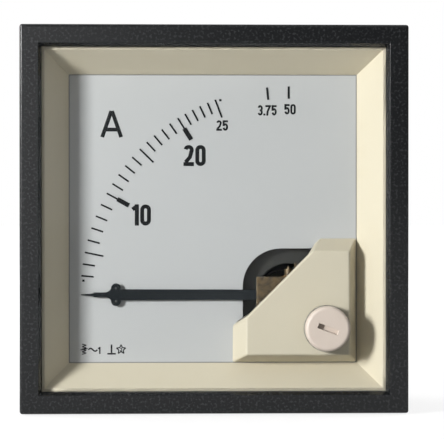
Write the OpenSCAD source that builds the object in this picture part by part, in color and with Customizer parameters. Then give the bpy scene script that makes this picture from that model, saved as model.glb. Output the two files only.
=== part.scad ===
// Analog panel meter: a square moving-iron ammeter with a 90 degree quadrant scale.
// Millimetres. X to the right, Y into the panel, Z up. The origin is the centre of
// the bezel's back face, which is the plane that seats on the panel.

/* [Bezel] */
// Width and height of the square bezel
bezel_w = 72; // [70:0.5:78]
// Width of the bezel's flat front rim
bezel_rim = 3.45; // [3.2:0.05:4.2]
// Side wall of the bezel around the window
bezel_wall = 1.6; // [1.2:0.1:1.8]
// Thickness of the rim in front of the window
bezel_lip = 1.2; // [0.8:0.1:2]
// Rounding of the bezel's front edges
bezel_edge_r = 0.5; // [0.2:0.1:0.8]

/* [Window and case] */
// Thickness of the clear window
window_t = 1.5; // [1:0.1:2]
// Thickness of the gasket behind the window
gasket_t = 0.5; // [0.3:0.1:0.8]
// Depth of the case behind the panel plane
case_depth = 42; // [40:1:55]
// Thickness of the case walls
case_wall = 1.4; // [1.2:0.1:1.6]
// Spacing of the two terminal studs
stud_spacing = 28; // [26:1:32]
// Radius of a terminal stud (M5)
stud_r = 2.5; // [2:0.25:3]

/* [Dial] */
// Depth of the dial behind the panel plane
dial_y = 3.3; // [2.8:0.1:4]
// Width of the sloping face that frames the dial
surround_slope = 4.35; // [4:0.05:5]
// Distance of the pivot from the two near edges of the visible dial
pivot_inset = 12.85; // [12.6:0.05:13.2]
// Gap between the surround and the outer ends of the scale marks
scale_margin = 2.2; // [1.8:0.1:3.5]
// Length of a fine scale mark
mark_len = 2.28; // [1.8:0.02:2.8]
// Width of a fine scale mark
mark_w = 0.27; // [0.2:0.01:0.35]

/* [Movement] */
// How far the pointer's tip stays short of the outer ends of the scale marks
tip_short = 0.05; // [0:0.05:1.5]
// Width of the pointer's blade
blade_w = 1.86; // [1.4:0.02:2.1]
// Thickness of the pointer's sheet
pointer_t = 0.2; // [0.15:0.05:0.3]
// Radius of the spindle
spindle_r = 0.5; // [0.4:0.05:0.6]
// Diameter of the coil's copper wire
wire_d = 1.84; // [1.5:0.02:1.88]
// Whole turns of the coil, which has a half turn more
coil_turns = 5; // [4:1:5]

/* [Zero adjuster] */
// Radius of the adjuster's head
adjuster_r = 4.2; // [3.9:0.05:4.6]
// Throw of the adjuster's eccentric pin
adjuster_throw = 1.3; // [1.1:0.05:1.4]

/* [Hidden] */
$fn = 48;
over = 0.5;          // how far a cutter runs past the face that it opens

// Front to back: the rim, the window, the gasket, the case flange and the snap lugs
flange_t = 1.5;
lug_t = 0.8;
bezel_y = -(bezel_lip + window_t + gasket_t + flange_t + lug_t);
window_y = bezel_y + bezel_lip;
gasket_y = window_y + window_t;
flange_y = gasket_y + gasket_t;
lug_y = -lug_t;

// Widths, from the outside in
fit_gap = 0.2;
pocket_w = bezel_w - 2 * bezel_wall;
flange_w = pocket_w - 2 * fit_gap;
case_w = flange_w - 1.4;
case_in = case_w - 2 * case_wall;
surround_w = case_in - fit_gap;
surround_lip = 0.55;
surround_skirt = 1;
aperture = surround_w - 2 * (surround_lip + surround_slope);
dial_w = surround_w - 2 * surround_skirt - fit_gap;
opening_w = surround_w + 0.1;
rim_chamfer = 0.9;
bezel_corner_r = 0.6;
case_r = 1.6;
case_floor = 2;
floor_y = case_depth - case_floor;

// Dial, carrier and the corner posts that hold them
dial_t = 0.6;
carrier_y = dial_y + dial_t;
carrier_t = 1.6;
former_y = carrier_y + carrier_t;
post_w = 6.4;
post_y = former_y + 4.9;
post_at = case_in / 2 - post_w / 2;
post_screw_r = 1.1;
cutout = 8.65;
cutout_r = 7.2;
pivot_x = aperture / 2 - pivot_inset;
scale_r = aperture - pivot_inset - scale_margin;
pointer_r = scale_r - tip_short;
dial_screw_at = [[10.25, 5], [-5, -10.25]];
dial_screw_r = 0.7;
cover_peg_at = [[11.2, 8.6], [-8.6, -11.2]];
cover_peg_r = 0.6;

// Corner cover: a low box with sloping sides, open along its diagonal edge.
// Edges are measured from the pivot: near (left and top) and far (right and bottom).
cover_near = 10.65;
cover_near_top = 8.25;
cover_far_top = pivot_inset - 1.7;
cover_diagonal = 4.6;
cover_diagonal_top = 4.1;
cover_t = 1;
cover_y = dial_y - 5.1;
cover_back = cover_y + cover_t;

// Front bearing and zero lever, in the space between the cover and the pointer
bridge_t = 0.7;
bridge_y = cover_back + 0.95;
bridge_back = bridge_y + bridge_t;
pointer_y = bridge_back + 0.7;
hub_y = pointer_y + pointer_t;
bearing_r = 1.2;
bearing_head_r = 1.7;
bearing_bore_r = spindle_r + 0.06;
lever_t = 0.4;
lever_y = bridge_y - lever_t - 0.05;
jewel_t = 0.4;
jewel_y = bridge_y - 0.4;
tip_gap = 0.02;
pillar_at = [[6.9, 1.2], [-3, -6.9]];
pillar_r = 1.4;
pillar_screw_r = 0.8;
stop_r = 0.3;
stop_at_r = 5.6;
swing_past = 3;
stop_gap_deg = 0.3;
stop_deg = asin((blade_w / 2 + stop_r) / stop_at_r) + swing_past + stop_gap_deg;

// Hairspring, from the collet on the spindle out to the stud on the zero lever
spring_w = 0.4;
spring_t = 0.1;
spring_y = bridge_back + 0.1;
collet_r = 1;
spring_in_r = collet_r + 0.08;
spring_out_r = 4.3;
spring_turns = 4;
stud_deg = 20;
lever_travel = 10;

// Coil, its former and the irons inside it
former_hole_r = 5.8;
former_tube_r = 6.8;
former_flange_t = 1.5;
former_w = 21;
coil_front = former_y + former_flange_t;
coil_back = coil_front + 13.7;
former_back = coil_back + former_flange_t;
former_ear = 13.2;
former_ear_r = 2.2;
former_screw_r = 0.8;
coil_r = former_tube_r + 0.15 + wire_d / 2;
iron_y = coil_front + 1;
iron_back = coil_back - 1.7;
moving_iron_r = 4.6;
moving_iron_t = 0.4;
fixed_iron_t = 0.5;

// Damping chamber behind the coil: the vane swings in a closed sector
chamber_r = 12.5;
chamber_wall = 1.2;
chamber_floor = 1;
chamber_back = former_back + 4.8;
lid_t = 1.5;
lid_back = chamber_back + lid_t;
chamber_deg = [-102, 12];
chamber_screw_deg = [35, -125];
chamber_screw_at_r = 10;
chamber_screw_r = 0.9;
rear_jewel_y = chamber_back + 0.5;

// Balance weights, on two arms that stand square to the pointer
arm_y = hub_y + 1.6;
arm_end_r = 5.2;
arm_deg = [90, -90];
arm_r = 0.25;
weight_r = 0.8;
weight_len = 1.6;
weight_at_r = 3.2;

// Zero adjuster, placed from the pivot
adjuster_at = [6.75, -6.1];
adjuster_deg = atan2(adjuster_at[1], adjuster_at[0]);
adjuster_dist = norm(adjuster_at);
adjuster_head_t = 1.7;
adjuster_body_r = 3.6;
adjuster_shaft_r = 2;
adjuster_pin_r = 0.5;
window_hole_r = 4.35;
running = 0.04;      // radial clearance of the adjuster in its seal and in the cover

// Terminals on the back of the case
stud_head_t = 5;
stud_head_af = 8;
collar_t = 2;
washer_t = 1;
nut_t = 4;
spring_washer_t = 1.2;
nut_af = stud_r * 3.2;
stud_end_y = case_depth + collar_t + 2 * washer_t + spring_washer_t + 2 * nut_t + 6;
wire_join_y = floor_y - 3.5;

// ---------------------------------------------------------------- helpers

// A flat shape drawn in x and z, from y0 back to y1
module slab(y0, y1) {
    translate([0, y1, 0]) rotate([90, 0, 0]) linear_extrude(y1 - y0) children();
}

// A cylinder along y
module disc(r, y0, y1) {
    slab(y0, y1) circle(r);
}

// A solid turned about the y axis, from points given as [radius, y]
module turned(profile) {
    rotate([-90, 0, 0]) rotate_extrude() polygon(profile);
}

module at_pivot() {
    translate([pivot_x, 0, -pivot_x]) children();
}

module at_points(points) {
    for (p = points) translate([p[0], 0, p[1]]) children();
}

module at_polar(r, deg) {
    translate([r * cos(deg), 0, r * sin(deg)]) children();
}

module at_corners(d) {
    for (x = [-1, 1], z = [-1, 1]) translate([x * d, 0, z * d]) children();
}

module rounded_square(w, r) {
    square([w - 2 * r, w], center = true);
    square([w, w - 2 * r], center = true);
    for (x = [-1, 1], z = [-1, 1]) translate([x, z] * (w / 2 - r)) circle(r);
}

// A square block whose width changes evenly from w0 at y0 to w1 at y1
module square_taper(w0, y0, w1, y1) {
    w = max(w0, w1);
    intersection() {
        translate([0, 0, -w / 2]) linear_extrude(w) taper_profile(w0, y0, w1, y1);
        rotate([0, -90, 0]) translate([0, 0, -w / 2]) linear_extrude(w) taper_profile(w0, y0, w1, y1);
    }
}

module taper_profile(w0, y0, w1, y1) {
    polygon([[-w0 / 2, y0], [w0 / 2, y0], [w1 / 2, y1], [-w1 / 2, y1]]);
}

// The part of a disc between two angles, which are under 180 degrees apart
module sector(r, deg0, deg1) {
    far = 3 * r;
    mid = (deg0 + deg1) / 2;
    intersection() {
        circle(r);
        polygon([[0, 0], far * [cos(deg0), sin(deg0)], far * [cos(mid), sin(mid)],
            far * [cos(deg1), sin(deg1)]]);
    }
}

module ring_sector(r0, r1, deg0, deg1) {
    difference() {
        sector(r1, deg0, deg1);
        circle(r0);
    }
}

// A cheese-head screw: the head's front face is at y0 and the shank ends at y1
module slotted_screw(head_r, head_t, shank_r, y0, y1) {
    slot_w = head_r * 0.3;
    difference() {
        union() {
            disc(head_r, y0, y0 + head_t);
            disc(shank_r, y0 + head_t, y1);
        }
        slab(y0 - over, y0 + head_t * 0.45) square([2 * head_r + over, slot_w], center = true);
    }
}

// The same screw, put in from behind
module slotted_screw_rear(head_r, head_t, shank_r, y0, y1) {
    translate([0, y0 + y1, 0]) mirror([0, 1, 0]) slotted_screw(head_r, head_t, shank_r, y0, y1);
}

module hexagon(across_flats) {
    circle(across_flats / 2 / cos(30), $fn = 6);
}

function unit(v) = v / norm(v);

// A polyline whose inner corners are rounded off over the length r to each side
function rounded_path(points, r, steps = 5) = [
    for (i = [0 : len(points) - 1])
        if (i == 0 || i == len(points) - 1) points[i]
        else let (
            p = points[i],
            a = p + r * unit(points[i - 1] - p),
            b = p + r * unit(points[i + 1] - p)
        ) for (k = [0 : steps]) let (t = k / steps)
            (1 - t) * (1 - t) * a + 2 * t * (1 - t) * p + t * t * b];

// A round rod swept along a path, with frames carried along so that it does not twist
module swept_rod(path, r, start_normal, sides = 8) {
    n = len(path);
    tangents = [for (i = [0 : n - 1]) unit(path[min(i + 1, n - 1)] - path[max(i - 1, 0)])];
    normals = [for (i = 0, v = start_normal; i < n;
        v = i + 1 < n ? unit(v - (v * tangents[i + 1]) * tangents[i + 1]) : v, i = i + 1) v];
    points = [for (i = [0 : n - 1], k = [0 : sides - 1])
        let (a = 360 * (k + 0.5) / sides)
        path[i] + r * (cos(a) * normals[i] + sin(a) * cross(tangents[i], normals[i]))];
    walls = [for (i = [0 : n - 2], k = [0 : sides - 1]) let (k1 = (k + 1) % sides)
        [i * sides + k1, i * sides + k, (i + 1) * sides + k, (i + 1) * sides + k1]];
    first = [[for (k = [0 : sides - 1]) k]];
    last = [[for (k = [sides - 1 : -1 : 0]) (n - 1) * sides + k]];
    polyhedron(points, concat(walls, first, last));
}

// ---------------------------------------------------------------- housing

// A bar in u and y whose two front corners are rounded
module front_rounded(w, y0, y1, r) {
    translate([-w / 2, y0 + r]) square([w, y1 - y0 - r]);
    translate([-w / 2 + r, y0]) square([w - 2 * r, 2 * r]);
    for (side = [-1, 1]) translate([side * (w / 2 - r), y0 + r]) circle(r);
}

module bezel() {
    lug_len = 9;
    lug_reach = (pocket_w - case_w) / 2 - fit_gap;
    color([0.13, 0.13, 0.14]) {
        difference() {
            intersection() {
                slab(bezel_y, 0) rounded_square(bezel_w, bezel_corner_r);
                translate([0, 0, -bezel_w / 2]) linear_extrude(bezel_w)
                    front_rounded(bezel_w, bezel_y, 0, bezel_edge_r);
                rotate([0, -90, 0]) translate([0, 0, -bezel_w / 2]) linear_extrude(bezel_w)
                    front_rounded(bezel_w, bezel_y, 0, bezel_edge_r);
            }
            slab(bezel_y - over, 0) square(opening_w, center = true);
            square_taper(bezel_w - 2 * bezel_rim, bezel_y, opening_w, bezel_y + rim_chamfer);
            slab(window_y, over) square(pocket_w, center = true);
        }
        for (turn = [0 : 90 : 270], side = [-1, 1]) rotate([0, turn, 0])
            translate([side * bezel_w / 4 - lug_len / 2, lug_y, pocket_w / 2 - lug_reach])
                cube([lug_len, lug_t, lug_reach]);
    }
}

module window() {
    color([0.8, 0.87, 0.9, 0.3]) difference() {
        slab(window_y, gasket_y) rounded_square(flange_w, 0.8);
        at_pivot() at_points([adjuster_at]) disc(window_hole_r, window_y - over, gasket_y + over);
    }
}

module window_gasket() {
    color([0.09, 0.09, 0.09]) slab(gasket_y, flange_y) difference() {
        rounded_square(flange_w, 0.8);
        square(case_in, center = true);
    }
}

module adjuster_seal() {
    color([0.07, 0.07, 0.07]) at_pivot() at_points([adjuster_at]) slab(window_y, gasket_y) difference() {
        circle(window_hole_r);
        circle(adjuster_body_r + running);
    }
}

module case_shell() {
    rib_h = 8;
    rib_t = 1.8;
    boss_r = stud_r + 4;
    color([0.12, 0.12, 0.13]) difference() {
        union() {
            slab(flange_y, lug_y) rounded_square(flange_w, 0.8);
            slab(flange_y, case_depth) rounded_square(case_w, case_r);
            slab(case_depth - over, case_depth + collar_t) for (side = [-1, 1])
                translate([side * stud_spacing / 2, 0]) circle(boss_r);
            slab(case_depth - over, case_depth + rib_h) square([rib_t, 2 * boss_r], center = true);
        }
        slab(flange_y - over, post_y) square(case_in, center = true);
        slab(post_y - over, floor_y) difference() {
            square(case_in, center = true);
            for (x = [-1, 1], z = [-1, 1]) translate([x, z] * post_at) square(post_w, center = true);
        }
        at_corners(post_at) disc(post_screw_r, post_y - over, post_y + 8);
        at_points([for (side = [-1, 1]) [side * stud_spacing / 2, 0]])
            disc(stud_r, floor_y - over, case_depth + collar_t + over);
        rear_chamfers();
        for (side = [-1, 1]) clamp_channel(side);
    }
}

// The bevels along the case's four rear edges
module rear_chamfers() {
    bevel = 1.2;
    for (turn = [0 : 90 : 270]) rotate([0, turn, 0]) translate([0, case_depth, case_w / 2])
        rotate([45, 0, 0]) cube([bezel_w, bevel * sqrt(2), bevel * sqrt(2)], center = true);
}

// A shallow track with cross notches in one side wall, where a mounting clamp hooks in
module clamp_channel(side) {
    channel_w = 10;
    channel_d = 0.5;
    notch_pitch = 3;
    for (z = [-1, 1]) translate([side * case_w / 2, 0, z * case_w / 4]) {
        translate([-channel_d, 8, -channel_w / 2]) cube([2 * channel_d, case_depth - 12, channel_w]);
        for (y = [10 : notch_pitch : case_depth - 7])
            translate([-channel_d - 0.4, y, -channel_w / 2 + 1]) cube([1.5, 1.2, channel_w - 2]);
    }
}

// ---------------------------------------------------------------- dial side

module dial_surround() {
    slope_t = 1.2;
    color([0.87, 0.85, 0.77]) difference() {
        union() {
            difference() {
                slab(gasket_y, carrier_y) square(surround_w, center = true);
                slab(gasket_y - over, carrier_y + over)
                    square(surround_w - 2 * surround_skirt, center = true);
            }
            square_taper(surround_w, gasket_y, aperture + 2 * slope_t, dial_y);
        }
        square_taper(surround_w - 2 * surround_lip, gasket_y - 0.001, aperture, dial_y + 0.001);
    }
}

// A solid between an outline at y0 and one with as many corners at y1
module lofted(outline0, y0, outline1, y1) {
    n = len(outline0);
    points = concat([for (p = outline0) [p[0], y0, p[1]]], [for (p = outline1) [p[0], y1, p[1]]]);
    walls = [for (i = [0 : n - 1]) let (j = (i + 1) % n) [i, j, n + j, n + i]];
    front = [[for (i = [n - 1 : -1 : 0]) i]];
    back = [[for (i = [0 : n - 1]) n + i]];
    polyhedron(points, concat(walls, front, back));
}

// The cover's outline: near sides at left and top, far sides at right and bottom,
// and a diagonal across the near corner
function cover_outline(near, far, diagonal) = [
    [-near, -far], [far, -far], [far, near], [near - diagonal, near], [-near, diagonal - near]];

function square_outline(near, far) = [[-near, -far], [far, -far], [far, near], [-near, near]];

module corner_cover() {
    inset = 1.15;
    far = pivot_inset - 0.05;
    slope = (cover_back - cover_y) / (dial_y - cover_y);
    near_back = cover_near_top + slope * (cover_near - cover_near_top) - inset;
    far_back = cover_far_top + slope * (far - cover_far_top) - inset;
    color([0.88, 0.86, 0.79]) at_pivot() {
        difference() {
            lofted(cover_outline(cover_near_top, cover_far_top, cover_diagonal_top), cover_y,
                cover_outline(cover_near, far, cover_diagonal), dial_y);
            lofted(square_outline(near_back, far_back), cover_back,
                square_outline(cover_near - inset + 0.02, far - inset + 0.02), dial_y + 0.04);
            at_points([adjuster_at]) disc(adjuster_shaft_r + running, cover_y - over, cover_back + over);
        }
        at_points(cover_peg_at) {
            disc(cover_peg_r, dial_y, carrier_y + carrier_t);
            disc(cover_peg_r, dial_y - 1, dial_y);
        }
    }
}

module dial_plate() {
    color([0.93, 0.93, 0.91]) slab(dial_y, carrier_y) difference() {
        rounded_square(dial_w, 0.5);
        translate([pivot_x, -pivot_x]) {
            movement_cutout();
            for (p = dial_screw_at) translate(p) circle(dial_screw_r);
            for (p = cover_peg_at) translate(p) circle(cover_peg_r);
        }
    }
}

// The opening over the movement, with one large rounded corner towards the scale
module movement_cutout() {
    round_at = [-1, 1] * (cutout - cutout_r);
    translate(round_at) circle(cutout_r);
    translate([-cutout, -cutout]) square([2 * cutout, 2 * cutout - cutout_r]);
    translate([-cutout + cutout_r, -cutout]) square([2 * cutout - cutout_r, 2 * cutout]);
}

// Pointer deflection in degrees for a current in amperes: cramped at the low end, even in
// the middle and pressed together over the overload range
function deflection(amps) = lookup(amps, [[0, 0], [3, 5.2], [5, 11.7], [10, 29.1], [15, 44.3],
    [20, 57.8], [25, 69.3], [37.5, 84], [50, 90]]);

module scale_mark(amps, r0, r1, w) {
    rotate(180 - deflection(amps)) translate([r0, -w / 2]) square([r1 - r0, w]);
}

module scale_marks() {
    ink = 0.05;
    medium = mark_len + 1.25;
    bar_w = 3 * mark_w;
    mark_in = scale_r - mark_len;
    color([0.05, 0.05, 0.05]) at_pivot() slab(dial_y - ink, dial_y) {
        for (amps = [3 : 25]) scale_mark(amps, mark_in, scale_r, mark_w);
        for (amps = [5, 15, 25]) scale_mark(amps, scale_r - medium, mark_in, mark_w);
        for (amps = [10, 20]) scale_mark(amps, mark_in - 2.4, mark_in, bar_w);
        for (amps = [37.5, 50]) scale_mark(amps, mark_in, scale_r, mark_w * 1.25);
    }
}

module dial_screws() {
    color([0.72, 0.72, 0.7]) at_pivot() at_points(dial_screw_at)
        slotted_screw(1.1, 0.7, dial_screw_r, dial_y - 0.7, carrier_y + carrier_t);
}

module carrier_frame() {
    skirt_t = 1.2;
    color([0.16, 0.16, 0.17]) difference() {
        union() {
            slab(carrier_y, former_y) rounded_square(surround_w, 0.6);
            slab(carrier_y, post_y) difference() {
                rounded_square(surround_w, 0.6);
                square(surround_w - 2 * skirt_t, center = true);
            }
            slab(carrier_y, post_y) intersection() {
                rounded_square(surround_w, 0.6);
                for (x = [-1, 1], z = [-1, 1]) translate([x, z] * post_at) square(post_w, center = true);
            }
        }
        at_pivot() {
            slab(carrier_y - over, former_y + over) movement_cutout();
            at_points(dial_screw_at) disc(dial_screw_r, carrier_y - over, former_y + over);
            at_points(cover_peg_at) disc(cover_peg_r, carrier_y - over, former_y + over);
            at_points([[-former_ear, 0], [0, former_ear]])
                disc(former_screw_r, carrier_y - over, former_y + over);
        }
        at_corners(post_at) {
            disc(2.1, carrier_y - over, carrier_y + 2.4);
            disc(post_screw_r, carrier_y, post_y + over);
        }
    }
}

module carrier_screws() {
    color([0.72, 0.72, 0.7]) at_corners(post_at)
        slotted_screw(2.1, 1.6, post_screw_r, carrier_y + 0.8, post_y + 6);
}

// ---------------------------------------------------------------- fixed movement parts

module coil_former() {
    color([0.1, 0.1, 0.1]) at_pivot() difference() {
        union() {
            slab(former_y, coil_front) {
                square(former_w, center = true);
                translate([-former_ear, -former_ear_r]) square([former_ear, 2 * former_ear_r]);
                translate([-former_ear_r, 0]) square([2 * former_ear_r, former_ear]);
                translate([-former_ear, 0]) circle(former_ear_r);
                translate([0, former_ear]) circle(former_ear_r);
            }
            disc(former_tube_r, coil_front, coil_back);
            slab(coil_back, former_back) square(former_w, center = true);
        }
        disc(former_hole_r, former_y - over, former_back + over);
        at_points([[-former_ear, 0], [0, former_ear]])
            disc(former_screw_r, former_y - over, coil_front + over);
        at_points(pillar_at) disc(pillar_screw_r, former_y - over, coil_front + over);
        for (deg = chamber_screw_deg) at_polar(chamber_screw_at_r, deg)
            disc(chamber_screw_r, coil_back - over, former_back + over);
    }
}

// Each lead leaves its stud, runs forward above the coil and drops to the former's side
module coil_winding() {
    bend = 3;
    steps = 24;
    first_y = coil_front + 0.1 + wire_d / 2;
    last_y = coil_back - 0.1 - wire_d / 2;
    turns = coil_turns + 0.5;
    left_x = pivot_x - coil_r;
    right_x = pivot_x + coil_r;
    lead_in = rounded_path([[-stud_spacing / 2 + stud_head_af / 2, wire_join_y, 0],
        [left_x, wire_join_y, 0], [left_x, first_y, 0], [left_x, first_y, -pivot_x + 1]], bend);
    lead_out = rounded_path([[right_x, last_y, -pivot_x + 1], [right_x, last_y, 0],
        [right_x, wire_join_y, 0], [stud_spacing / 2 + stud_head_af / 2, wire_join_y, 0]], bend);
    helix = [for (i = [0 : turns * steps]) let (t = i / (turns * steps), a = 180 + 360 * turns * t)
        [pivot_x + coil_r * cos(a), first_y + t * (last_y - first_y), -pivot_x + coil_r * sin(a)]];
    color([0.72, 0.42, 0.24]) swept_rod(concat(lead_in, helix, lead_out), wire_d / 2, [0, 1, 0]);
}

module former_screws() {
    color([0.72, 0.72, 0.7]) at_pivot() at_points([[-former_ear, 0], [0, former_ear]])
        slotted_screw_rear(1.5, 1.1, former_screw_r, carrier_y, coil_front + 1.1);
}

module fixed_iron() {
    color([0.55, 0.56, 0.57]) at_pivot()
        slab(iron_y, iron_back) ring_sector(former_hole_r - fixed_iron_t, former_hole_r, -15, 60);
}

module bridge_pillars() {
    color([0.75, 0.6, 0.32]) at_pivot() at_points(pillar_at) difference() {
        union() {
            disc(pillar_r, bridge_back, former_y);
            disc(pillar_screw_r, former_y, coil_front);
        }
        disc(pillar_screw_r, bridge_back - over, former_y - 1);
    }
}

module front_bridge() {
    plate = [-6.2, -8.6, 8.6, 3.4];
    corner = 12.5;
    tab_w = 1.3;
    color([0.78, 0.62, 0.3]) at_pivot() slab(bridge_y, bridge_back) difference() {
        union() {
            polygon([[plate[0], plate[1]], [corner + plate[1], plate[1]],
                [plate[2], plate[2] - corner], [plate[2], plate[3]], [plate[0], plate[3]]]);
            translate([stop_at_r * cos(90 - stop_deg) - tab_w / 2, 0])
                square([tab_w, stop_at_r * sin(90 - stop_deg) + tab_w / 2]);
        }
        circle(bearing_r);
        for (p = pillar_at) translate(p) circle(pillar_screw_r);
        for (deg = [180 + stop_deg, 90 - stop_deg])
            translate(stop_at_r * [cos(deg), sin(deg)]) circle(stop_r);
        ring_sector(spring_out_r - 0.45, spring_out_r + 0.45, stud_deg - lever_travel - 4,
            stud_deg + lever_travel + 4);
    }
}

module bridge_screws() {
    color([0.75, 0.75, 0.73]) at_pivot() at_points(pillar_at)
        slotted_screw(1.5, 0.7, pillar_screw_r, bridge_y - 0.7, former_y - 1.5);
}

module stop_pins() {
    color([0.7, 0.7, 0.7]) at_pivot() for (deg = [180 + stop_deg, 90 - stop_deg])
        at_polar(stop_at_r, deg) disc(stop_r, bridge_y, hub_y + 0.3);
}

module front_bearing_screw() {
    head_y = lever_y - 0.05 - 0.3;
    color([0.8, 0.66, 0.36]) at_pivot() difference() {
        slotted_screw(bearing_head_r, 0.3, bearing_r, head_y, bridge_back);
        disc(bearing_bore_r, jewel_y, bridge_back + over);
    }
}

module rear_bearing_screw() {
    color([0.8, 0.66, 0.36]) at_pivot() difference() {
        slotted_screw_rear(bearing_head_r, 0.8, bearing_r, chamber_back - 0.4, lid_back + 0.8);
        disc(bearing_bore_r, chamber_back - 0.4 - over, rear_jewel_y + jewel_t);
    }
}

module bearing_jewels() {
    color([0.75, 0.1, 0.2]) at_pivot() {
        disc(bearing_bore_r, jewel_y, jewel_y + jewel_t);
        disc(bearing_bore_r, rear_jewel_y, rear_jewel_y + jewel_t);
    }
}

// The outline of the damping chamber, with its two screw ears
module chamber_outline(r) {
    ear_r = 2.2;
    sector(r, chamber_deg[0] - 4, chamber_deg[1] + 4);
    circle(4);
    for (deg = chamber_screw_deg) rotate(deg) {
        translate([0, -ear_r]) square([chamber_screw_at_r, 2 * ear_r]);
        translate([chamber_screw_at_r, 0]) circle(ear_r);
    }
}

module chamber_screw_holes() {
    for (deg = chamber_screw_deg) rotate(deg) translate([chamber_screw_at_r, 0])
        circle(chamber_screw_r);
}

module damping_chamber() {
    color([0.14, 0.14, 0.15]) at_pivot() difference() {
        slab(former_back, chamber_back) difference() {
            chamber_outline(chamber_r + chamber_wall);
            chamber_screw_holes();
        }
        disc(1.2, former_back - over, former_back + chamber_floor + over);
        slab(former_back + chamber_floor, chamber_back + over) {
            sector(chamber_r, chamber_deg[0], chamber_deg[1]);
            circle(2.6);
        }
    }
}

module chamber_lid() {
    color([0.14, 0.14, 0.15]) at_pivot() slab(chamber_back, lid_back) difference() {
        chamber_outline(chamber_r + chamber_wall);
        chamber_screw_holes();
        circle(bearing_r);
    }
}

module chamber_screws() {
    color([0.72, 0.72, 0.7]) at_pivot() for (deg = chamber_screw_deg)
        at_polar(chamber_screw_at_r, deg)
            slotted_screw_rear(1.6, 1.2, chamber_screw_r, coil_back, lid_back + 1.2);
}

// ---------------------------------------------------------------- terminals

module terminal_stud(side) {
    chamfer = 0.5;
    color([0.78, 0.66, 0.4]) translate([side * stud_spacing / 2, 0, 0]) {
        slab(floor_y - stud_head_t, floor_y) rotate(30) hexagon(stud_head_af);
        turned([[0, floor_y], [stud_r, floor_y], [stud_r, stud_end_y - chamfer],
            [stud_r - chamfer, stud_end_y], [0, stud_end_y]]);
    }
}

module terminal_stud_left() {
    terminal_stud(-1);
}

module terminal_stud_right() {
    terminal_stud(1);
}

module at_studs(y) {
    for (side = [-1, 1]) translate([side * stud_spacing / 2, y, 0]) children();
}

lower_washer_y = case_depth + collar_t;
lower_nut_y = lower_washer_y + washer_t;
upper_washer_y = lower_nut_y + nut_t;
spring_washer_y = upper_washer_y + washer_t;
upper_nut_y = spring_washer_y + spring_washer_t;

module terminal_washers() {
    color([0.75, 0.75, 0.74]) for (y = [lower_washer_y, upper_washer_y])
        at_studs(y) slab(0, washer_t) difference() {
            circle(2 * stud_r);
            circle(stud_r + 0.15);
        }
}

module spring_washers() {
    split = 0.7;
    color([0.6, 0.6, 0.6]) at_studs(spring_washer_y) difference() {
        slab(0, spring_washer_t) difference() {
            circle(1.72 * stud_r);
            circle(stud_r + 0.1);
        }
        rotate([0, 45, 0]) translate([0, spring_washer_t / 2, 0]) rotate([0, 0, 35])
            translate([-split / 2, -5, 0]) cube([split, 10, 3 * stud_r]);
    }
}

module terminal_nuts() {
    color([0.78, 0.66, 0.4]) for (y = [lower_nut_y, upper_nut_y]) at_studs(y)
        intersection() {
            slab(0, nut_t) difference() {
                hexagon(nut_af);
                circle(stud_r);
            }
            turned(nut_bevel(nut_af));
        }
}

// The turned bevels on a nut's corners
function nut_bevel(af) = [[0, 0], [af * 0.47, 0], [af * 0.59, af * 0.07],
    [af * 0.59, nut_t - af * 0.07], [af * 0.47, nut_t], [0, nut_t]];

// ---------------------------------------------------------------- turning parts

module spindle() {
    tip = 0.5;
    front = jewel_y + jewel_t + tip_gap;
    back = rear_jewel_y - tip_gap;
    color([0.8, 0.8, 0.8]) at_pivot() turned([[0, front], [0.1, front], [spindle_r, front + tip],
        [spindle_r, back - tip], [0.1, back], [0, back]]);
}

module spring_collet() {
    color([0.8, 0.66, 0.36]) at_pivot() slab(spring_y - 0.03, pointer_y - 0.1) difference() {
        circle(collet_r);
        circle(spindle_r);
    }
}

module pointer_hub() {
    color([0.8, 0.66, 0.36]) at_pivot() turned([[spindle_r, pointer_y - 0.1], [0.8, pointer_y - 0.1],
        [0.8, hub_y], [1.5, hub_y], [1.5, hub_y + 0.3], [spindle_r, hub_y + 0.3]]);
}

// Blade, two round lobes with a pinhole each, flare, narrow bar and needle, drawn along the
// pointer's rest direction; each length is measured back from the tip
module pointer() {
    half = blade_w / 2;
    lobe_from_tip = 6.6;
    flare = [[5.6, half], [5.35, 0.72], [4.9, 0.48], [4.3, 0.36]];
    bar_from_tip = 2.35;
    needle_half = 0.15;
    edge = concat(flare, [[bar_from_tip, flare[3][1]], [bar_from_tip, needle_half], [0, 0.05]]);
    lobe_at = [-(pointer_r - lobe_from_tip), 1.2];
    color([0.13, 0.13, 0.14]) at_pivot() slab(pointer_y, hub_y) difference() {
        union() {
            circle(1.5);
            polygon(concat([[0, half]], [for (p = edge) [p[0] - pointer_r, p[1]]],
                [for (i = [len(edge) - 1 : -1 : 0]) [edge[i][0] - pointer_r, -edge[i][1]]], [[0, -half]]));
            for (side = [-1, 1]) translate([lobe_at[0], side * lobe_at[1]]) circle(0.93);
        }
        circle(0.8);
        for (side = [-1, 1]) translate([lobe_at[0], side * lobe_at[1]]) circle(0.22);
    }
}

module balance_arms() {
    color([0.8, 0.66, 0.36]) at_pivot() difference() {
        union() {
            disc(1.1, hub_y + 0.3, arm_y + 0.9);
            for (deg = arm_deg) translate([0, arm_y, 0]) rotate([0, -deg, 0]) rotate([0, 90, 0])
                cylinder(r = arm_r, h = arm_end_r);
        }
        disc(spindle_r, hub_y, arm_y + 2);
    }
}

module balance_weights() {
    color([0.78, 0.64, 0.34]) at_pivot() for (deg = arm_deg) translate([0, arm_y, 0])
        rotate([0, -deg, 0]) rotate([0, 90, 0]) translate([0, 0, weight_at_r]) difference() {
            cylinder(r = weight_r, h = weight_len);
            translate([0, 0, -over]) cylinder(r = arm_r, h = weight_len + 2 * over);
        }
}

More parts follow.
